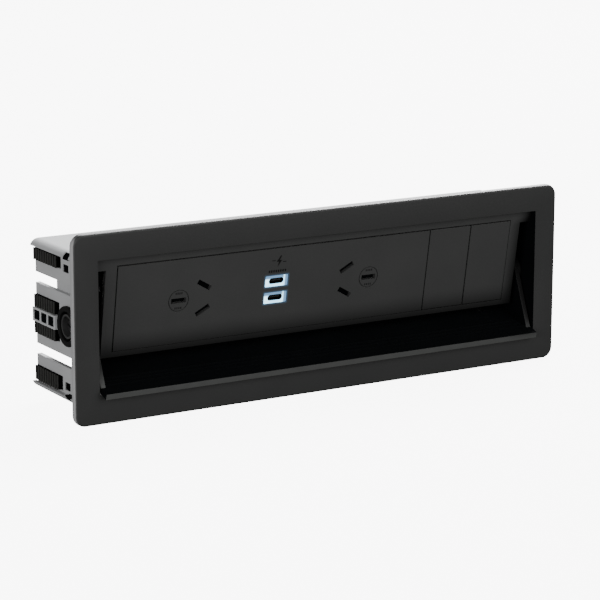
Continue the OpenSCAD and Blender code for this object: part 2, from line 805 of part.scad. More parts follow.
// Charger block behind the ports, with a pocket for its board
module usb_charger() {
    mid = usb_up - usb_pitch / 2;
    color([0.12, 0.12, 0.12]) on_fascia() translate([usb_x, 0, mid]) difference() {
        box([-charger_w / 2, plate_t, -charger_h / 2], [charger_w / 2, body_back, charger_h / 2]);
        box([-board_x, plate_t - cut, -board_z], [board_x, body_back - chamber_floor, board_z]);
    }
}

// Charger's circuit board, on edge behind the ports
module usb_board() {
    mid = usb_up - usb_pitch / 2;
    color([0.1, 0.35, 0.2]) on_fascia() translate([usb_x, 0, mid])
        box([-board_x, usb_back, -board_z], [board_x, usb_back + board_t, board_z]);
}

// Outline of a connector, grown by the given amount
module usb_outline(grow) {
    round_rect(usb_shell_w + 2 * grow, usb_shell_h + 2 * grow, usb_shell_r + grow);
}

// Connector shell of one port, a flattened tube
module usb_shell(z) {
    color([0.7, 0.7, 0.72]) on_fascia() translate([usb_x, 0, z])
        slab(usb_back - usb_shell_len, usb_back) difference() {
            usb_outline(0);
            usb_outline(-usb_shell_t);
        }
}

// Tongue inside one port, on the block that fills the back of its shell
module usb_tongue(z) {
    color([0.1, 0.1, 0.1]) on_fascia() translate([usb_x, 0, z]) {
        box([-tongue_w / 2, usb_back - usb_shell_len + tongue_set, -tongue_t / 2],
            [tongue_w / 2, usb_back, tongue_t / 2]);
        slab(usb_back - tongue_base, usb_back) usb_outline(-usb_shell_t - usb_fit);
    }
}

// Light frame round one port
module usb_light(z) {
    color([0.85, 0.92, 1]) on_fascia() translate([usb_x, 0, z])
        slab(light_set, plate_t + cut) difference() {
            round_rect(light_w, light_h, light_r);
            usb_outline(usb_fit);
        }
}

// Casing behind the row of modules, open to the front, with an arm to each end plate
module module_casing() {
    color([0.12, 0.12, 0.12]) from_middle()
        for (side = [-1, 1])
            at_side(side) box([casing_x - casing_wall / 2, arm_end - arm_w, arm_low],
                [end_in_x, arm_end, arm_low + arm_t]);
    color([0.12, 0.12, 0.12]) on_fascia() difference() {
        union() {
            box([-casing_x, fascia_t, -casing_down], [casing_x, casing_depth, casing_up]);
            at_ears() translate([0, fascia_t + ear_t / 2, 0]) cube([ear_w, ear_t, ear_h], center = true);
        }
        at_ears() translate([0, fascia_t - cut, 0]) rotate([-90, 0, 0])
            cylinder(r = screw_r + fit_gap, h = ear_t + 2 * cut);
        box([casing_wall - casing_x, fascia_t - cut, casing_wall - casing_down],
            [casing_x - casing_wall, casing_depth - casing_wall, casing_up - casing_wall]);
        translate([inlet_x, 0, socket_up]) slab(fascia_t, casing_depth + cut)
            square([inlet_w - 2 * inlet_wall, inlet_h - 2 * inlet_wall], center = true);
    }
}

// Three-pole inlet on the casing's back
module power_inlet() {
    back = casing_depth - casing_wall;
    color([0.1, 0.1, 0.1]) on_fascia() translate([inlet_x, 0, socket_up]) difference() {
        union() {
            slab(back, casing_depth + cut)
                square([inlet_w - 2 * inlet_wall, inlet_h - 2 * inlet_wall], center = true);
            slab(casing_depth, casing_depth + inlet_len) round_rect(inlet_w, inlet_h, inlet_wall);
        }
        slab(casing_depth + inlet_wall, casing_depth + inlet_len + cut)
            round_rect(inlet_w - 2 * inlet_wall, inlet_h - 2 * inlet_wall, inlet_wall / 2);
        for (x = [-pin_pitch, 0, pin_pitch])
            translate([x, back - cut, 0]) rotate([-90, 0, 0])
                cylinder(r = pin_r, h = casing_wall + inlet_wall + 2 * cut);
    }
}

// Pins of the inlet
module inlet_pins() {
    color([0.78, 0.6, 0.32]) on_fascia() translate([inlet_x, casing_depth - casing_wall, socket_up])
        for (x = [-pin_pitch, 0, pin_pitch])
            translate([x, 0, 0]) rotate([-90, 0, 0]) cylinder(r = pin_r, h = inlet_len - cut);
}

// Screws that hold the casing to the fascia frame, from behind
module casing_screws() {
    color([0.6, 0.6, 0.62]) on_fascia() at_ears()
        translate([0, fascia_t - screw_bite, 0]) rotate([0, 0, 90]) screw(screw_bite + ear_t);
}

bezel();
shell_top();
shell_bottom();
end_frame(-1);  // end_frame_left
end_frame(1);  // end_frame_right
outer_grip(-1, 1, grip_upper, grip_upper_h, window_upper);  // grip_upper_left
middle_grip(-1);  // grip_middle_left
outer_grip(-1, -1, grip_lower, grip_lower_h, window_lower);  // grip_lower_left
outer_grip(1, 1, grip_upper, grip_upper_h, window_upper);  // grip_upper_right
middle_grip(1);  // grip_middle_right
outer_grip(1, -1, grip_lower, grip_lower_h, window_lower);  // grip_lower_right
ladder_clip(-1);  // ladder_clip_left
ladder_clip(1);  // ladder_clip_right
lid();
lid_hub(-1);  // lid_hub_left
lid_hub(1);  // lid_hub_right
hub_screws();
fascia_frame();
socket_plate();
blank_module(0);  // blank_module_inner
blank_module(1);  // blank_module_outer
socket_body(socket_left_x, 1);  // socket_body_left
socket_body(socket_right_x, -1);  // socket_body_right
contact_at(socket_left_x, 1, 1, 0);  // contact_active_left
contact_at(socket_left_x, 1, -1, 1);  // contact_neutral_left
contact_at(socket_left_x, 1, 0, 2);  // contact_earth_left
contact_at(socket_right_x, -1, -1, 0);  // contact_active_right
contact_at(socket_right_x, -1, 1, 1);  // contact_neutral_right
contact_at(socket_right_x, -1, 0, 2);  // contact_earth_right
busbar(contact_place(socket_left_x, 1, 1), contact_place(socket_right_x, -1, -1), active_level, 0);  // busbar_active
busbar(contact_place(socket_left_x, 1, -1), contact_place(socket_right_x, -1, 1), neutral_level, 1);  // busbar_neutral
busbar(contact_place(socket_left_x, 1, 0), contact_place(socket_right_x, -1, 0), earth_level, 2);  // busbar_earth
usb_charger();
usb_board();
usb_shell(usb_up);  // usb_shell_upper
usb_shell(usb_up - usb_pitch);  // usb_shell_lower
usb_tongue(usb_up);  // usb_tongue_upper
usb_tongue(usb_up - usb_pitch);  // usb_tongue_lower
usb_light(usb_up);  // usb_light_upper
usb_light(usb_up - usb_pitch);  // usb_light_lower
module_casing();
power_inlet();
inlet_pins();
casing_screws();
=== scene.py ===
# %% [markdown]
# An in-desk power module: a black frame round a deep recess, a lid that swings down into the
# recess, a leaning row of mains sockets, a lit twin USB charger and two blank modules, and
# light grey housing ends with black ribbed grips. The CAD model already holds the main shapes.
# Blender adds what the eye expects next: softened edges, moulded and printed small parts, and
# finishes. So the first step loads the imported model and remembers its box.

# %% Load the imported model
import json
import math
import bmesh
import bpy
from mathutils import Matrix, Vector

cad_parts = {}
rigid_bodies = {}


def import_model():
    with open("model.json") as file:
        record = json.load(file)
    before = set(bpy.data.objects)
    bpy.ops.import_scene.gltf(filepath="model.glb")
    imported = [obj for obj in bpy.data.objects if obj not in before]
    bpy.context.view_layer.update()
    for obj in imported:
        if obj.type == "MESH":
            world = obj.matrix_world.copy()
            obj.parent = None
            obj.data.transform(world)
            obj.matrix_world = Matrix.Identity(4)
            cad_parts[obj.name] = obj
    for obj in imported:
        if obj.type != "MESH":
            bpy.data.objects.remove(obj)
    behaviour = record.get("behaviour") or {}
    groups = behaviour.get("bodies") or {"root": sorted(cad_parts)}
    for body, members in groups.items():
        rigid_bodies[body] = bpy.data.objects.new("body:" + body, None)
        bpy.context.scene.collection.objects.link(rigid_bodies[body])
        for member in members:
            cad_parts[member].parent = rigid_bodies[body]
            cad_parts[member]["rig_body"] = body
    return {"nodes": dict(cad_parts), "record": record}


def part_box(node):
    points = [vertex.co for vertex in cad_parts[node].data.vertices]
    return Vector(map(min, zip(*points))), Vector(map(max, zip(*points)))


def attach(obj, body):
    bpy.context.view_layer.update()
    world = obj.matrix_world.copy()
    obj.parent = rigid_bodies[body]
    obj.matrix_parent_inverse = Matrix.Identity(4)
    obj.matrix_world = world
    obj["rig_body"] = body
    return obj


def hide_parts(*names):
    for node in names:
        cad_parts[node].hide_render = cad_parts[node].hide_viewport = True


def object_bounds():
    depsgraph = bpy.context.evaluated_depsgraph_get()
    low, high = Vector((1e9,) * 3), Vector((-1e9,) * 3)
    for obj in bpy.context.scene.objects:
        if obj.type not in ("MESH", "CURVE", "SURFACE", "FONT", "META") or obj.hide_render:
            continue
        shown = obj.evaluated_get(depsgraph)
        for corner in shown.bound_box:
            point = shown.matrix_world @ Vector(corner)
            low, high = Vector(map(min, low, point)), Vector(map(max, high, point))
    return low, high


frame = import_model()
cad_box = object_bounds()
nodes = frame["nodes"]
slots = {p["node"]: p["material_slot"] for p in frame["record"]["subparts"]}
print("CAD box", [round(v, 4) for corner in cad_box for v in corner], "nodes", len(nodes))

# %% [markdown]
# The picture was taken from the left and a little above, with a long lens. The camera's place
# was worked out from the frame's corners and the sockets, so it is written here as numbers, in
# radians and metres. A camera looks along its own -Z, so its axes are the columns right, up
# and back.

# %% Make the camera
TURN, RISE, ROLL = 0.542845, 0.220501, 0.002523
DISTANCE, ASIDE, ABOVE = 1.284664, 0.0144814, 0.000352
FOCAL_PX, PICTURE_PX, SENSOR_MM = 2478.14, 600, 36.0
FRONT = -0.0035
back = Vector((-math.sin(TURN) * math.cos(RISE), -math.cos(TURN) * math.cos(RISE),
               math.sin(RISE)))
right = Vector((math.cos(TURN), -math.sin(TURN), 0.0))
up = back.cross(right)
right, up = (right * math.cos(ROLL) + up * math.sin(ROLL),
             up * math.cos(ROLL) - right * math.sin(ROLL))
place = Vector((0, FRONT, 0)) + back * DISTANCE - right * ASIDE - up * ABOVE
camera_data = bpy.data.cameras.new("camera")
camera_data.sensor_width = SENSOR_MM
camera_data.lens = FOCAL_PX * SENSOR_MM / PICTURE_PX
camera_data.clip_start, camera_data.clip_end = 0.05, 60.0
camera = bpy.data.objects.new("camera", camera_data)
bpy.context.scene.collection.objects.link(camera)
camera.matrix_world = Matrix.Translation(place) @ Matrix((right, up, back)).transposed().to_4x4()
bpy.context.scene.camera = camera
print("lens", round(camera_data.lens, 1), "camera at", [round(v, 3) for v in place])

# %% [markdown]
# Every finish is a small sum of patterns, and sums read best as sums. This class wraps one
# socket of a node tree, so that a line such as 0.5 + 0.1 * noise adds its Math nodes. Any
# other node comes from its method called node, which sets the node's options first.

# %% Define shader values
class Value:
    def __init__(self, tree, socket):
        self.tree, self.socket = tree, socket

    def node(self, kind, settings=(), sockets=(), out=0):
        made = self.tree.nodes.new(kind)
        for key, value in dict(settings).items():
            setattr(made, key, value)
        for key, value in dict(sockets).items():
            if isinstance(value, Value):
                self.tree.links.new(value.socket, made.inputs[key])
            else:
                made.inputs[key].default_value = value
        return Value(self.tree, made.outputs[out])

    def math(self, operation, first, second=0.0):
        return self.node("ShaderNodeMath", {"operation": operation}, {0: first, 1: second})

    def __add__(self, other):
        return self.math("ADD", self, other)

    def __sub__(self, other):
        return self.math("SUBTRACT", self, other)

    def __rsub__(self, other):
        return self.math("SUBTRACT", other, self)

    def __mul__(self, other):
        return self.math("MULTIPLY", self, other)

    def __abs__(self):
        return self.math("ABSOLUTE", self)

    __radd__ = __add__
    __rmul__ = __mul__

    def most(self, other):
        return self.math("MAXIMUM", self, other)

    def step(self, start, end):
        return self.node("ShaderNodeMapRange", {"interpolation_type": "SMOOTHSTEP"},
                         {"Value": self, "From Min": start, "From Max": end})

    def mix(self, low, high):
        return self.node("ShaderNodeMix", {"data_type": "RGBA"}, {0: self, 6: low, 7: high}, 2)


print("shader values ready")

# %% [markdown]
# A finish is one material with its main shader. Patterns are counted in millimetres on the
# model's own coordinates, so a grain keeps its size on a wide frame and on a small screw, and
# it stays on its piece when the lid moves. A grey is the same number three times.

# %% Define a finish
class Finish:
    def __init__(self, name, **constants):
        self.material = bpy.data.materials.new(name)
        self.material.use_nodes = True
        tree = self.material.node_tree
        self.shader = next(n for n in tree.nodes if n.type == "BSDF_PRINCIPLED")
        self.made = Value(tree, None)
        self.place = self.made.node("ShaderNodeTexCoord", out=3)
        for key, value in constants.items():
            self.shader.inputs[key.replace("_", " ")].default_value = value

    def axis(self, index, vector=None):
        return self.made.node("ShaderNodeSeparateXYZ", sockets={0: vector or self.place}, out=index)

    def along(self, direction, origin):
        moved = self.made.node("ShaderNodeVectorMath", {"operation": "SUBTRACT"},
                               {0: self.place, 1: origin})
        return self.made.node("ShaderNodeVectorMath", {"operation": "DOT_PRODUCT"},
                              {0: moved, 1: direction}, 1)

    def noise(self, size_mm, detail=2.0, stretch=(1, 1, 1)):
        place = self.made.node("ShaderNodeMapping", sockets={
            "Vector": self.place, "Scale": stretch})
        return self.made.node("ShaderNodeTexNoise", sockets={
            "Vector": place, "Scale": 1000 / size_mm, "Detail": detail})

    def cells(self, size_mm):
        return self.made.node("ShaderNodeTexVoronoi", sockets={
            "Vector": self.place, "Scale": 1000 / size_mm})

    def feed(self, socket, value):
        self.material.node_tree.links.new(value.socket, self.shader.inputs[socket])

    def bump(self, height, depth_mm, strength):
        self.feed("Normal", self.made.node("ShaderNodeBump", sockets={
            "Height": height, "Distance": depth_mm / 1000, "Strength": strength}))


def grey(level):
    return (level, level, level, 1)


print("finishes ready")

# %% [markdown]
# The frame, the lid and the fascia are one black plastic with the fine spark-eroded texture of
# a mould: a grain of about a third of a millimetre, a slow drift of shade, and a roughness
# that drifts with it. The fascia and the modules are a little lighter than the frame and the
# lid, so a function makes it twice.

# %% Black textured plastic
def black_plastic(name, shade, rough):
    finish = Finish(name, Specular_IOR_Level=0.3)
    drift = finish.noise(26.0, 3.0)
    grain = finish.noise(0.35)
    finish.base = (0.5 * drift + 0.5 * grain).mix(
        (shade * 0.8, shade * 0.82, shade * 0.82, 1), (shade * 1.2, shade * 1.2, shade * 1.18, 1))
    finish.feed("Base Color", finish.base)
    finish.feed("Roughness", rough - 0.05 + 0.1 * drift + 0.05 * grain)
    finish.bump(0.7 * grain + 0.3 * finish.cells(0.5), 0.03, 0.5)
    return finish


bezel_black = black_plastic("black_plastic", 0.0215, 0.46)
module_black = black_plastic("module_plastic", 0.036, 0.42)
print("textured blacks:", bezel_black.material.name, module_black.material.name)

# %% [markdown]
# The smoother moulded blacks differ only in their numbers, so one helper makes them. The walls
# of the recess and the inside of the open lid look nearly black on the real one, because they lie
# in shade. They take the most matt of these, a near-black painted shade, which a later step gives
# to single faces. The others are for the hubs and for the parts behind the fascia.

# %% Moulded blacks
def moulded(name, gloss, drift_mm, low, high, rough, more_rough, grain_mm, strength=0.4):
    finish = Finish(name, Specular_IOR_Level=gloss)
    drift = finish.noise(drift_mm, 3.0)
    finish.feed("Base Color", drift.mix(low, high))
    finish.feed("Roughness", rough + more_rough * drift)
    finish.bump(finish.noise(grain_mm), 0.02, strength)
    return finish


painted_shade_black = moulded("painted_shade_black", 0.04, 18.0, (0.0015, 0.002, 0.0025, 1),
                       (0.003, 0.0036, 0.0042, 1), 0.7, 0.2, 0.5, 0.3)
hub_black = moulded("hub_plastic", 0.08, 6.0, grey(0.004), grey(0.008), 0.45, 0.12, 0.5)
inner_black = moulded("inner_plastic", 0.2, 9.0, (0.008, 0.009, 0.009, 1), grey(0.016),
                      0.36, 0.14, 0.6)
print("moulded blacks:", [f.material.name for f in (painted_shade_black, hub_black, inner_black)])

# %% [markdown]
# The edges of the lid and of its cheeks have painted light low down, and painted shade up towards
# the pivot, which starts a little sooner at the right end. The frame's rim and top edge look pale
# on the real one, so their finish carries a painted highlight: a point of it is grey where it faces
# sideways or up.

# %% Painted light on the lid's edges and painted highlight on the rim
LIGHT_FULL_BELOW, LIGHT_GONE_AT = -0.031, -0.019
FAR_FROM, FAR_TO, FAR_DROP = 0.1, 0.12, 0.006
painted_light_edge = Finish("painted_light_edge", Specular_IOR_Level=0.2)
edge_drift = painted_light_edge.noise(8.0, 3.0)
shade_sooner_far = painted_light_edge.axis(0).step(FAR_FROM, FAR_TO)
painted_light_low = 1 - (painted_light_edge.axis(2) + FAR_DROP * shade_sooner_far).step(LIGHT_FULL_BELOW, LIGHT_GONE_AT)
painted_light_edge.feed("Base Color", (painted_light_low * (0.8 + 0.3 * edge_drift)).mix(
    grey(0.004), (0.068, 0.07, 0.068, 1)))
painted_light_edge.feed("Roughness", 0.5 + 0.1 * edge_drift)
painted_light_edge.bump(painted_light_edge.noise(0.35), 0.02, 0.4)

rim_painted_highlight = Finish("rim_painted_highlight", Specular_IOR_Level=0.4)
rim_cloud = rim_painted_highlight.noise(12.0, 3.0)
facing = rim_painted_highlight.made.node("ShaderNodeTexCoord", out=1)
sideways_highlight = abs(rim_painted_highlight.axis(0, facing)).step(0.55, 1.0)
painted_highlight_share = sideways_highlight.most(0.7 * rim_painted_highlight.axis(2, facing).step(0.9, 1.0))
rim_painted_highlight.feed("Base Color", (painted_highlight_share * (0.85 + 0.15 * rim_cloud)).mix(
    grey(0.03), (0.43, 0.43, 0.435, 1)))
rim_painted_highlight.feed("Roughness", 0.45 + 0.1 * rim_cloud)
rim_painted_highlight.bump(rim_painted_highlight.noise(0.4), 0.02, 0.3)
print("edge finishes:", painted_light_edge.material.name, rim_painted_highlight.material.name)

# %% [markdown]
# The grips are a softer, matt black with a coarse tooth. Each rib's outer face has painted light
# in its colour, with a random speckle, and the rest of the grip is a near-black painted shade.
# The ring in a pivot cup is given a greyer colour, a painted highlight that shows in the dark cup.

# %% Grip rubber with painted light, and the ring's painted highlight
RIBS_FROM, RIBS_TO = 0.023, 0.025
FACE_FROM, FACE_TO = 0.139, 0.1396
grip_black = Finish("grip_rubber", Specular_IOR_Level=0.04)
grip_speckle = grip_black.noise(1.6, 3.0)
on_rib = grip_black.axis(1).step(RIBS_FROM, RIBS_TO)
painted_lit_rib_faces = on_rib * abs(grip_black.axis(0)).step(FACE_FROM, FACE_TO)
grip_black.feed("Base Color", (painted_lit_rib_faces * (0.5 + grip_speckle)).mix(
    grey(0.0005), (0.042, 0.042, 0.04, 1)))
grip_black.feed("Roughness", 0.6 + 0.25 * grip_speckle)
grip_black.bump(grip_black.noise(0.3), 0.03, 0.6)

cup_ring_highlight = Finish("cup_ring_painted_highlight", Specular_IOR_Level=0.3)
ring_drift = cup_ring_highlight.noise(3.0, 3.0)
cup_ring_highlight.feed("Base Color", ring_drift.mix(grey(0.02), grey(0.055)))
cup_ring_highlight.feed("Roughness", 0.4 + 0.1 * ring_drift)
cup_ring_highlight.bump(ring_drift, 0.01, 0.3)
print("grip and ring finishes ready")

# %% [markdown]
# The housing is light grey. The two shells are drawn channels with a painted face, which shows
# very faint lines along their length. The end frames are moulded, so they have a soft cloudy
# shade and a satin skin.

# %% Light grey paint and plastic
shell_grey = Finish("grey_shell", Specular_IOR_Level=0.5)
draw_lines = shell_grey.noise(0.9, 3.0, (0.02, 1, 1))
shell_cloud = shell_grey.noise(40.0, 3.0)
shell_grey.feed("Base Color", (0.4 * draw_lines + 0.6 * shell_cloud).mix(
    (0.4, 0.405, 0.41, 1), (0.47, 0.475, 0.48, 1)))
shell_grey.feed("Roughness", 0.34 + 0.14 * draw_lines)
shell_grey.bump(draw_lines, 0.02, 0.3)

frame_grey = Finish("grey_plastic", Specular_IOR_Level=0.4)
frame_cloud = frame_grey.noise(14.0, 3.0)
frame_grain = frame_grey.noise(0.4)
frame_grey.feed("Base Color", (0.7 * frame_cloud + 0.3 * frame_grain).mix(
    (0.4, 0.405, 0.41, 1), (0.5, 0.505, 0.51, 1)))
frame_grey.feed("Roughness", 0.4 + 0.15 * frame_cloud)
frame_grey.bump(frame_grain, 0.02, 0.4)
print("grey finishes ready")

# %% [markdown]
# The small metal parts are plated steel and plain brass with fine tool marks, and the circuit
# board is green with copper runs under its lacquer. The light guides are a milky plastic, and
# get their glow in a later step.

# %% Metal, board and light guides
def metal(name, low, high, rough):
    finish = Finish(name, Metallic=1.0)
    marks = finish.noise(0.25, 3.0, (1, 0.08, 1))
    tarnish = finish.noise(3.0, 3.0)
    finish.feed("Base Color", (0.3 * marks + 0.7 * tarnish).mix(low, high))
    finish.feed("Roughness", rough + 0.16 * marks)
    finish.bump(marks, 0.01, 0.4)
    return finish


blackened = metal("blackened_steel", (0.03, 0.03, 0.032, 1), (0.09, 0.09, 0.095, 1), 0.3)
steel = metal("steel", (0.42, 0.43, 0.44, 1), (0.66, 0.67, 0.68, 1), 0.2)
brass = metal("brass", (0.5, 0.34, 0.12, 1), (0.8, 0.6, 0.28, 1), 0.22)
gold = metal("gold_pads", (0.7, 0.5, 0.2, 1), (0.95, 0.74, 0.36, 1), 0.16)

board_green = Finish("board", Specular_IOR_Level=0.5, Roughness=0.25)
bands = board_green.made.node("ShaderNodeTexWave", {"wave_type": "BANDS"}, {
    "Vector": board_green.place, "Scale": 180.0, "Distortion": 3.0}, 1)
copper_runs = bands.step(0.6, 0.75)
board_green.feed("Base Color", copper_runs.mix((0.01, 0.09, 0.035, 1), (0.03, 0.2, 0.08, 1)))
board_green.bump(copper_runs, 0.03, 0.5)

guide = Finish("light_guide", Roughness=0.3, Emission_Strength=3.2)
guide.feed("Base Color", guide.noise(2.0).mix((0.12, 0.17, 0.25, 1), (0.17, 0.22, 0.3, 1)))
guide.bump(guide.noise(0.8), 0.01, 0.3)
print("small finishes ready")

# %% [markdown]
# The fascia leans, with its foot deeper in the recess than its top. Anything that is placed on
# it is given by its distance sideways, into the plate and up the plate's own slope. Round the
# lit ports the black plate has a faint blue painted glow in its emission, standing in for the
# guides' light falling on it, and it falls off with the distance from the nearer of the two guides.

# %% Painted glow of the ports' light on the fascia
FASCIA_TILT, FASCIA_BACK = math.radians(9.6), 0.0097
USB_X, USB_HIGH, USB_LOW = -0.0263, 0.0114, 0.0022
GUIDE_W, GUIDE_H, HAZE_REACH, HAZE_STRENGTH = 0.0133, 0.0059, 0.0016, 0.25
fascia_up = Vector((0, -math.sin(FASCIA_TILT), math.cos(FASCIA_TILT)))
fascia_in = Vector((0, math.cos(FASCIA_TILT), math.sin(FASCIA_TILT)))
fascia_origin = Vector((0, FRONT + FASCIA_BACK, 0))


def on_fascia(x, depth, height):
    return fascia_origin + Vector((x, 0, 0)) + fascia_in * depth + fascia_up * height


def glow_falloff(height):
    over = (abs(slope - height) - GUIDE_H / 2).most(0.0)
    away = over.math("SQRT", beside * beside + over * over)
    return 1 - away.step(0.0, HAZE_REACH)


slope = module_black.along(fascia_up, fascia_origin)
beside = (abs(module_black.axis(0) - USB_X) - GUIDE_W / 2).most(0.0)
painted_glow = glow_falloff(USB_HIGH).most(glow_falloff(USB_LOW))
module_black.shader.inputs["Emission Strength"].default_value = HAZE_STRENGTH
module_black.feed("Emission Color", (painted_glow * painted_glow).mix(grey(0), (0.1, 0.25, 0.45, 1)))
print("haze on", module_black.material.name)

# %% [markdown]
# Each light guide slopes in to its port, so its top bar and the outer half of its right bar
# look away from the lamps inside and glow a duller blue. One finish serves both guides, so a
# step half-way between them makes each height count from the middle of its own guide.

# %% Glow of the light guides
BETWEEN, BETWEEN_SOFT = (USB_HIGH + USB_LOW) / 2, 0.0005
BAR_FROM, BAR_TO, BAR_END, BAR_GONE = 0.0008, 0.0018, 0.0036, 0.005
HALF_FROM, HALF_TO = 0.0046, 0.0054
guide_slope = guide.along(fascia_up, fascia_origin)
sideways = guide.axis(0) - USB_X
in_upper = guide_slope.step(BETWEEN - BETWEEN_SOFT, BETWEEN + BETWEEN_SOFT)
in_guide = guide_slope - USB_LOW - (USB_HIGH - USB_LOW) * in_upper
top_bar = in_guide.step(BAR_FROM, BAR_TO) * (1 - sideways.step(BAR_END, BAR_GONE))
dull = top_bar.most(sideways.step(HALF_FROM, HALF_TO))
hot_spots = guide.noise(2.5).step(0.3, 0.7)
guide.feed("Emission Color", dull.mix(
    hot_spots.mix((0.3, 0.7, 1.0, 1), (0.52, 0.86, 1.0, 1)), (0.035, 0.09, 0.16, 1)))
print("the guides part at", round(BETWEEN, 4))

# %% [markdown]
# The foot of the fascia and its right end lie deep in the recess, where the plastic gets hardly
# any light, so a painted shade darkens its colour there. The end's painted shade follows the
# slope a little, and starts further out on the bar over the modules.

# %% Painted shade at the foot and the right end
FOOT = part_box("fascia_frame")[0][2] / math.cos(FASCIA_TILT)
FOOT_BELOW, FOOT_ABOVE = 0.003, 0.014
END_FROM, END_TO, END_LEAN = 0.117, 0.128, 0.05
BAR_LOW, BAR_HIGH, BAR_OUT = 0.026, 0.033, 0.005
sunk = module_black.axis(0) - END_LEAN * slope - BAR_OUT * slope.step(BAR_LOW, BAR_HIGH)
lit = slope.step(FOOT - FOOT_BELOW, FOOT + FOOT_ABOVE) * (1 - sunk.step(END_FROM, END_TO))
module_black.feed("Base Color", lit.mix(grey(0.0015), module_black.base))
print("the fascia's foot is at", round(FOOT, 4))

# %% [markdown]
# Sharp corners give a CAD model away, because no real edge fails to catch light. Each CAD piece
# that shows is copied, its loose triangles are merged, and its edges get a narrow bevel. Rounded
# pieces are shaded smooth, and the others flat. The copy then stands for the CAD node, and
# rides on the same body.

# %% Helpers that copy a CAD piece
FINISHES = {"black_plastic": bezel_black, "module_plastic": module_black, "hub_plastic": hub_black,
            "inner_plastic": inner_black, "grip_rubber": grip_black, "grey_shell": shell_grey,
            "grey_plastic": frame_grey, "steel": steel, "brass": brass, "board": board_green,
            "light_guide": guide}
OUTSIDE, SHADE_PAINTED, EDGE, RIM = range(4)
SAME_POINT, SHADE_ANGLE, BEVEL_ANGLE = 2e-6, math.radians(35), math.radians(40)


def ready(name, form, body, finish, smooth=True):
    mesh = bpy.data.meshes.new(name)
    form.to_mesh(mesh)
    form.free()
    for face in mesh.polygons:
        face.use_smooth = smooth
    made = bpy.data.objects.new(name, mesh)
    bpy.context.scene.collection.objects.link(made)
    mesh.materials.append(finish.material)
    if smooth:
        mesh.set_sharp_from_angle(angle=SHADE_ANGLE)
    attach(made, body)
    return made


def soften(node, width, segments=2, pick=None, smooth=True, reshape=None):
    source = nodes[node]
    form = bmesh.new()
    form.from_mesh(source.data)
    bmesh.ops.remove_doubles(form, verts=form.verts, dist=SAME_POINT)
    form.normal_update()
    for face in form.faces:
        face.material_index = pick(face) if pick else OUTSIDE
    if reshape:
        for vert in form.verts:
            reshape(vert.co)
    own = module_black if node == "fascia_frame" else FINISHES[slots[node]]
    made = ready(node + "_soft", form, source["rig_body"], own, smooth)
    if pick:
        for finish in (painted_shade_black, painted_light_edge, rim_painted_highlight):
            made.data.materials.append(finish.material)
    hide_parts(node)
    if width:
        edge = made.modifiers.new("edge", "BEVEL")
        edge.width, edge.segments, edge.limit_method = width, segments, "ANGLE"
        edge.angle_limit, edge.harden_normals = BEVEL_ANGLE, smooth
        edge.use_clamp_overlap = True
    return made


print("material slots", len(FINISHES))

# %% [markdown]
# Some copies need more than one finish, and a face takes its finish from the way that it points
# and from its place. The frame's inner walls take the near-black painted shade, and its rim and
# top edge the painted highlight. The lid's ends and inside take the painted shade, and its cheeks'
# and lip's edges the painted light and shade of the edge finish. The module casing's side faces
# take the painted shade too. Places on the lid are measured from its hinge, towards the lip and
# towards the side that faces in when it is closed.

# %% Pick a finish for each face
LID_TURN, HINGE = math.radians(110), Vector((0, 0.0185, -0.0024))
lid_inward = Vector((0, math.cos(LID_TURN), math.sin(LID_TURN)))
lip_way = Vector((0, -math.sin(LID_TURN), math.cos(LID_TURN)))
LID_X, CHEEK_T, LIP_FROM, INSIDE_FROM = 0.1312, 0.0028, 0.0355, -0.0194
WALLS_TO, RIM_FROM, TOP_FROM = 0.1345, 0.1438, 0.045
SIDEWAYS, SLANTED, UPWARD = 0.7, 0.3, 0.9


def bezel_finish(face):
    middle = face.calc_center_median()
    if abs(middle.x) < WALLS_TO and abs(face.normal.x) > SIDEWAYS:
        return SHADE_PAINTED
    on_top = middle.z > TOP_FROM and face.normal.z > UPWARD
    on_rim = abs(middle.x) > RIM_FROM and abs(face.normal.x) > SLANTED
    return RIM if on_top or on_rim else OUTSIDE


def lid_finish(face):
    middle = face.calc_center_median()
    from_hinge = middle - HINGE
    if abs(face.normal.x) > SIDEWAYS:
        return SHADE_PAINTED
    if abs(middle.x) > LID_X - CHEEK_T or from_hinge.dot(lip_way) > LIP_FROM:
        return EDGE
    return SHADE_PAINTED if from_hinge.dot(lid_inward) > INSIDE_FROM else OUTSIDE


def side_finish(face):
    return SHADE_PAINTED if abs(face.normal.x) > SIDEWAYS else OUTSIDE


print("the lip starts", LIP_FROM, "from the hinge")

# %% [markdown]
# A mains socket has its earth slot level, and its two live slots lean towards each other. The
# second socket is the first one turned round. This generator gives the place and the lean of
# each slot, for the plate's shape now and for the shutters later.

# %% Places of the socket slots
SOCKETS, SOCKET_UP = ((-0.0729, 1), (0.0199, -1)), 0.0072
EARTH_AWAY, LIVE_AWAY, LIVE_ANGLE, LIVE_LEAN = 0.0103, 0.00792, math.radians(60), math.radians(30)


def slot_places(x, turned):
    yield x - turned * EARTH_AWAY, SOCKET_UP, 0.0
    for rise in (-1, 1):
        yield (x + turned * LIVE_AWAY * math.cos(LIVE_ANGLE),
               SOCKET_UP + rise * LIVE_AWAY * math.sin(LIVE_ANGLE),
               -turned * rise * LIVE_LEAN)


print("slots", sum(len(list(slot_places(x, turned))) for x, turned in SOCKETS))

# %% [markdown]
# Four small moves of the copies' points bring them nearer to the real one: the frame's corners
# are rounder, each module keeps a wider dark joint above it and at its left, the slots of the
# sockets are a little larger, and the rings round the earth slots a little smaller.

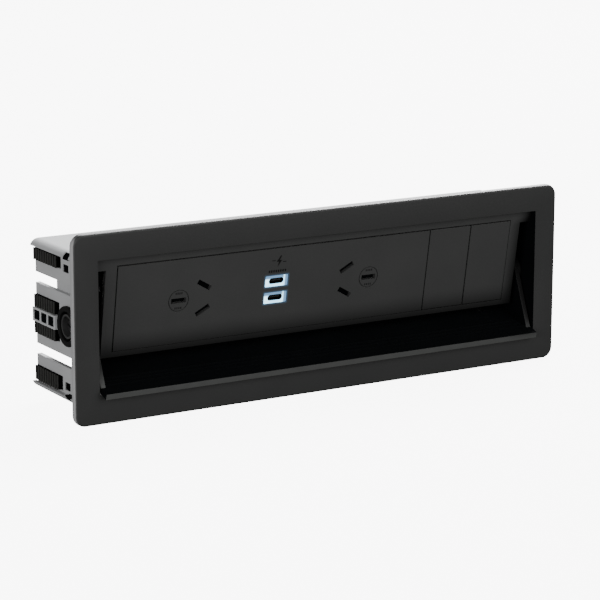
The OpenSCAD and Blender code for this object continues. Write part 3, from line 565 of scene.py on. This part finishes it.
# %% Small moves of the points
BEZEL_X, BEZEL_TOP, BEZEL_LOW = 0.14585, 0.04785, -0.04905
CORNER_R, MORE_R, TOUCH = 0.004, 0.002, 1e-6
MODULES = ("socket_plate", "blank_module_inner", "blank_module_outer")
PLATE_LEFTS = [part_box(plate)[0][0] for plate in MODULES]
PLATE_TOP, NEAR_TOP, NEAR_LEFT, JOINT = 0.0297, 0.0002, 0.0001, 0.0004
SLOT_REACH, SLOT_GROW = 0.0043, 1.13
RING_FROM, RING_TO, RING_KEEP = 0.0055, 0.0072, 0.87


def wider_corner(point):
    side, end = math.copysign(1, point.x), math.copysign(1, point.z)
    across = abs(point.x) - (BEZEL_X - CORNER_R)
    over = (point.z - BEZEL_TOP if end > 0 else BEZEL_LOW - point.z) + CORNER_R
    reach = math.hypot(across, over)
    if across >= -TOUCH and over >= -TOUCH and reach > 10 * TOUCH:
        grow = (reach + MORE_R) / reach
        point.x += side * (across * grow - across - MORE_R)
        point.z += end * (over * grow - over - MORE_R)


def plate_shape(point):
    height = (point - fascia_origin).dot(fascia_up)
    if height > PLATE_TOP - NEAR_TOP:
        point -= fascia_up * JOINT
    if min(abs(point.x - left) for left in PLATE_LEFTS) < NEAR_LEFT:
        point.x += JOINT
    for x, turned in SOCKETS:
        for slot_x, slot_up, turn in slot_places(x, turned):
            away = Vector((point.x - slot_x, height - slot_up))
            grow = SLOT_GROW if away.length < SLOT_REACH else 1.0
            if turn == 0 and RING_FROM < away.length < RING_TO:
                grow = RING_KEEP
            point += (Vector((away.x, 0, 0)) + fascia_up * away.y) * (grow - 1)


print("left edges of the modules", [round(left, 4) for left in PLATE_LEFTS])

# %% [markdown]
# Now each piece that shows is softened. The widths are in metres: about three tenths of a
# millimetre on the large pieces, and half of that on the grips and the blank modules. The
# socket plate is cut too finely for a bevel, so it keeps its own edges.

# %% Soften the pieces that show
softened = [
    soften("bezel", 0.0003, segments=3, pick=bezel_finish, reshape=wider_corner),
    soften("lid", 0.0003, segments=3, pick=lid_finish),
    soften("fascia_frame", 0.00025, smooth=False),
    soften("socket_plate", 0, smooth=False, reshape=plate_shape),
    soften("blank_module_inner", 0.00015, smooth=False, reshape=plate_shape),
    soften("blank_module_outer", 0.00015, smooth=False, reshape=plate_shape)]
for node in ("shell_top", "shell_bottom", "end_frame_left", "end_frame_right",
             "ladder_clip_left", "ladder_clip_right"):
    softened.append(soften(node, 0.00025, smooth=False))
softened += [
    soften("lid_hub_left", 0.00025), soften("lid_hub_right", 0.00025),
    soften("power_inlet", 0.0003),
    soften("module_casing", 0.0004, pick=side_finish, smooth=False)]
for side in ("left", "right"):
    for part in ("upper", "middle", "lower"):
        softened.append(soften(f"grip_{part}_{side}", 0.00015, smooth=False))
print("softened pieces", len(softened))

# %% [markdown]
# The middle grip's rubber swells through the three windows of the ladder clip, almost up to the
# clip's face. Each of these pads is a cube that is scaled to its window and rounded all over.
# The pads take the near-black painted shade, so the windows look dark. The windows are found
# from the clip's own box, so the pads keep to it.

# %% Rubber pads in the ladder clips
RUNG_W, LADDER_BAR, WINDOWS = 0.0017, 0.0011, 3
PAD_SINK, PAD_FIT, PAD_BACK, PAD_ROUND = 0.0001, 0.0001, 0.0002, 0.0003


def block(form, size, centre=(0, 0, 0)):
    made = bmesh.ops.create_cube(form, size=1.0)["verts"]
    bmesh.ops.scale(form, vec=size, verts=made)
    bmesh.ops.translate(form, vec=centre, verts=made)


def rounded(form, offset, segments=2):
    bmesh.ops.bevel(form, geom=form.edges[:], offset=offset, offset_type="OFFSET", affect="EDGES",
                    segments=segments, profile=0.5, material=-1)


for side, sign in (("left", -1), ("right", 1)):
    low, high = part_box(f"ladder_clip_{side}")
    outer = max(abs(low[0]), abs(high[0])) - PAD_SINK
    inner = min(abs(low[0]), abs(high[0])) - PAD_BACK
    bay = (high[1] - low[1] - (WINDOWS + 1) * RUNG_W) / WINDOWS
    tall = high[2] - low[2] - 2 * LADDER_BAR - 2 * PAD_FIT
    pads = bmesh.new()
    for count in range(WINDOWS):
        middle = low[1] + RUNG_W + bay / 2 + count * (bay + RUNG_W)
        block(pads, (outer - inner, bay - 2 * PAD_FIT, tall),
              (sign * (outer + inner) / 2, middle, (low[2] + high[2]) / 2))
    rounded(pads, PAD_ROUND)
    ready(f"clip_pads_{side}", pads, "housing", painted_shade_black)
print("bay of a clip", round(bay, 4))

# %% [markdown]
# The pieces left are inside or very small, and their CAD shapes are right as they are, so they
# only take their finish. The screws and the shells of the ports are blackened.

# %% Finish the remaining CAD pieces
plain = 0
for name, node in nodes.items():
    if node.hide_render:
        continue
    node.data.materials.clear()
    dark = name.endswith("_screws") or name.startswith("usb_shell")
    finish = blackened if dark else FINISHES[slots[name]]
    node.data.materials.append(finish.material)
    plain += 1
print("CAD pieces that keep their own mesh", plain)

# %% [markdown]
# A safety shutter stands behind each slot of a mains socket, and closes it. It is a small block
# with a sloping face. It starts as a cube, is squeezed to size, and one edge of its front is
# pushed back, so that a plug's pin can slide it aside. The shutters take the near-black painted
# shade, so the slots look dark.

# %% Socket shutters
PLATE_T, SHUTTER_SIZE = 0.0022, (0.009, 0.0009, 0.0036)
SHUTTER_SLOPE, SHUTTER_GAP, SHUTTER_ROUND = 0.0006, 0.0006, 0.0001
fascia_turn = Matrix.Rotation(FASCIA_TILT, 4, "X")


def stand_on_fascia(form, x, depth, height, turn=0.0):
    stand = Matrix.Translation(on_fascia(x, depth, height))
    bmesh.ops.transform(form, matrix=stand @ fascia_turn @ Matrix.Rotation(-turn, 4, "Y"),
                        verts=form.verts)


shutters = []
for (x, turned), label in zip(SOCKETS, ("left", "right")):
    for count, (slot_x, slot_up, turn) in enumerate(slot_places(x, turned)):
        form = bmesh.new()
        block(form, SHUTTER_SIZE)
        edge = [v for v in form.verts if v.co.y < 0 and v.co.x < 0]
        bmesh.ops.translate(form, vec=(0, SHUTTER_SLOPE, 0), verts=edge)
        rounded(form, SHUTTER_ROUND)
        stand_on_fascia(form, slot_x, PLATE_T + SHUTTER_GAP, slot_up, turn)
        name = f"shutter_{label}_{count}"
        shutters.append(ready(name, form, "housing", painted_shade_black))
print("shutters", len(shutters))

# %% [markdown]
# Inside each pivot cup a raised ring guides the lid's stop. It is a flat circle that is spun
# from one small rectangle: the profile stands beside the pivot, and a full turn about the
# hinge's own axis joins into a closed ring. It rides with the lid, as the cups do. Its greyer
# colour is a painted highlight.

# %% Rings in the pivot cups
RING_INNER, RING_OUTER, CUP_FLOOR, RING_FACE = 0.0052, 0.0062, 0.1357, 0.1392
for label, sign in (("left", -1), ("right", 1)):
    ring = bmesh.new()
    corners = [(CUP_FLOOR, RING_INNER), (RING_FACE, RING_INNER),
               (RING_FACE, RING_OUTER), (CUP_FLOOR, RING_OUTER)]
    loop = [ring.verts.new((sign * x, HINGE.y + r, HINGE.z)) for x, r in corners]
    edges = [ring.edges.new((loop[i], loop[(i + 1) % 4])) for i in range(4)]
    bmesh.ops.spin(ring, geom=loop + edges, cent=HINGE, axis=(1, 0, 0), angle=math.tau, steps=48,
                   use_merge=True, use_duplicate=False)
    bmesh.ops.remove_doubles(ring, verts=ring.verts, dist=TOUCH)
    bmesh.ops.recalc_face_normals(ring, faces=ring.faces[:])
    ready(f"cup_ring_{label}", ring, "lid", cup_ring_highlight)
print("rings stand out to", RING_FACE)

# %% [markdown]
# Each USB connector's tongue carries a row of gold pads on both its faces. One pad is a thin
# plate with softened edges, and the rows are that pad copied sideways.

# %% Gold pads in the USB ports
GOLD_SIZE, GOLD_PITCH, GOLD_PADS = (0.00028, 0.0034, 0.00004), 0.0005, 12
TONGUE_HALF, TONGUE_DEPTH, GOLD_ROUND = 0.00036, 0.0036, 0.00001
for label, height in (("upper", USB_HIGH), ("lower", USB_LOW)):
    row = bmesh.new()
    for index in range(GOLD_PADS):
        for face in (-1, 1):
            block(row, GOLD_SIZE,
                  ((index - (GOLD_PADS - 1) / 2) * GOLD_PITCH, 0, face * TONGUE_HALF))
    rounded(row, GOLD_ROUND, segments=1)
    stand_on_fascia(row, USB_X, TONGUE_DEPTH, height)
    ready(f"usb_pads_{label}", row, "housing", gold, smooth=False)
print("pads per port", 2 * GOLD_PADS)

# %% [markdown]
# A charging bolt over a row of short ticks is printed above the ports, and each ring round an
# earth slot has short ticks above and below the slot. Print has no thickness worth the name,
# so each mark is a flat outline, in millimetres, given two hundredths of a millimetre.

# %% Printed marks
INK_T, BOLT_SIDE, BOLT_UP, TICKS_UP = 0.00002, 0.0006, 0.0104, 0.0048
ink = Finish("print_ink", Specular_IOR_Level=0.1)
ink_wear = ink.noise(0.6, 3.0)
ink.feed("Base Color", ink_wear.mix(grey(0.003), grey(0.008)))
ink.feed("Roughness", 0.5 + 0.1 * ink_wear)
ink.bump(ink_wear, 0.005, 0.3)


def printed(name, outlines, x, height):
    form = bmesh.new()
    for outline in outlines:
        form.faces.new([form.verts.new((px / 1000, 0, pz / 1000)) for px, pz in outline])
    grown = bmesh.ops.extrude_face_region(form, geom=form.faces[:])["geom"]
    raised = [g for g in grown if isinstance(g, bmesh.types.BMVert)]
    bmesh.ops.translate(form, vec=(0, -INK_T, 0), verts=raised)
    bmesh.ops.recalc_face_normals(form, faces=form.faces[:])
    stand_on_fascia(form, x, 0.0, height)
    return ready(name, form, "housing", ink, smooth=False)


def tick(px, pz, width, tall):
    return [(px, pz), (px + width, pz), (px + width, pz + tall), (px, pz + tall)]


bolt = [(0.7, 3.4), (-1.6, 0.1), (-0.2, 0.1), (-0.8, -2.7), (1.6, 0.9), (0.2, 0.9), (1.4, 3.4)]
bars = [tick(-4.2, 0.7, 2.0, 0.4), tick(2.2, -0.3, 2.0, 0.4)]
row = [tick(-5.2 + 1.35 * i, 0, 0.85, 1.3) for i in range(8)]
printed("charging_bolt", [bolt] + bars, USB_X + BOLT_SIDE, USB_HIGH + BOLT_UP)
printed("charging_ticks", row, USB_X, USB_HIGH + TICKS_UP)
for (x, turned), label in zip(SOCKETS, ("left", "right")):
    marks = [tick(-2.0 + 1.1 * i, z, 0.55, 1.1) for i in range(4) for z in (3.3, -4.6)]
    printed(f"ring_ticks_{label}", marks, x - turned * EARTH_AWAY, SOCKET_UP)
print("ticks under the bolt", len(row), "ticks in a ring", len(marks))

# %% [markdown]
# The module is shown on a plain pale floor that fills the picture. The floor glows as a lit
# table does, so hardly a trace of shadow is left round the frame. Its glow is kept from
# washing out the black plastic: only the camera sees the floor, and the lamps do the rest.

# %% Floor
floor_finish = Finish("floor", Specular_IOR_Level=0.0, Roughness=0.9,
                      Emission_Color=(1, 1, 1, 1), Emission_Strength=8.0)
floor_finish.feed("Base Color", floor_finish.noise(900.0).mix(grey(0.2), grey(0.21)))
FLOOR = cad_box[0].z - 0.0002
ground = bmesh.new()
bmesh.ops.create_grid(ground, x_segments=2, y_segments=2, size=20.0)
bmesh.ops.translate(ground, vec=(0, 0, FLOOR), verts=ground.verts)
floor_mesh = bpy.data.meshes.new("floor")
ground.to_mesh(floor_mesh)
ground.free()
floor_mesh.materials.append(floor_finish.material)
floor = bpy.data.objects.new("floor", floor_mesh)
bpy.context.scene.collection.objects.link(floor)
floor.visible_diffuse = floor.visible_glossy = False
print("floor at", round(FLOOR, 4))

# %% [markdown]
# A dim white room gives an even light, and three large soft lamps shape it: a strong one high
# up on the right that leaves the housing's left side in half shade, a low one at the left that
# draws the ribs and the frame's rounded edge, and one in front that fills the black faces.

# %% Light
room = bpy.data.worlds.new("room")
room.use_nodes = True
room.node_tree.nodes["Background"].inputs["Color"].default_value = (1, 1, 1, 1)
room.node_tree.nodes["Background"].inputs["Strength"].default_value = 0.25
bpy.context.scene.world = room


def lamp(name, where, aim, size, watts):
    data = bpy.data.lights.new(name, "AREA")
    data.shape, data.size, data.size_y, data.energy = "RECTANGLE", size[0], size[1], watts
    made = bpy.data.objects.new(name, data)
    bpy.context.scene.collection.objects.link(made)
    made.location = where
    made.rotation_euler = (Vector(aim) - Vector(where)).to_track_quat("-Z", "Y").to_euler()


lamp("over", (1.6, 1.0, 1.8), (0, 0.05, 0), (1.4, 1.4), 300.0)
lamp("left_end", (-1.05, -0.6, 0.12), (-0.13, 0.03, 0), (0.7, 0.7), 9.5)
lamp("front", (0.3, -1.2, 0.5), (0, 0, 0), (1.6, 1.0), 12.0)
print("lamps", len(bpy.data.lights))
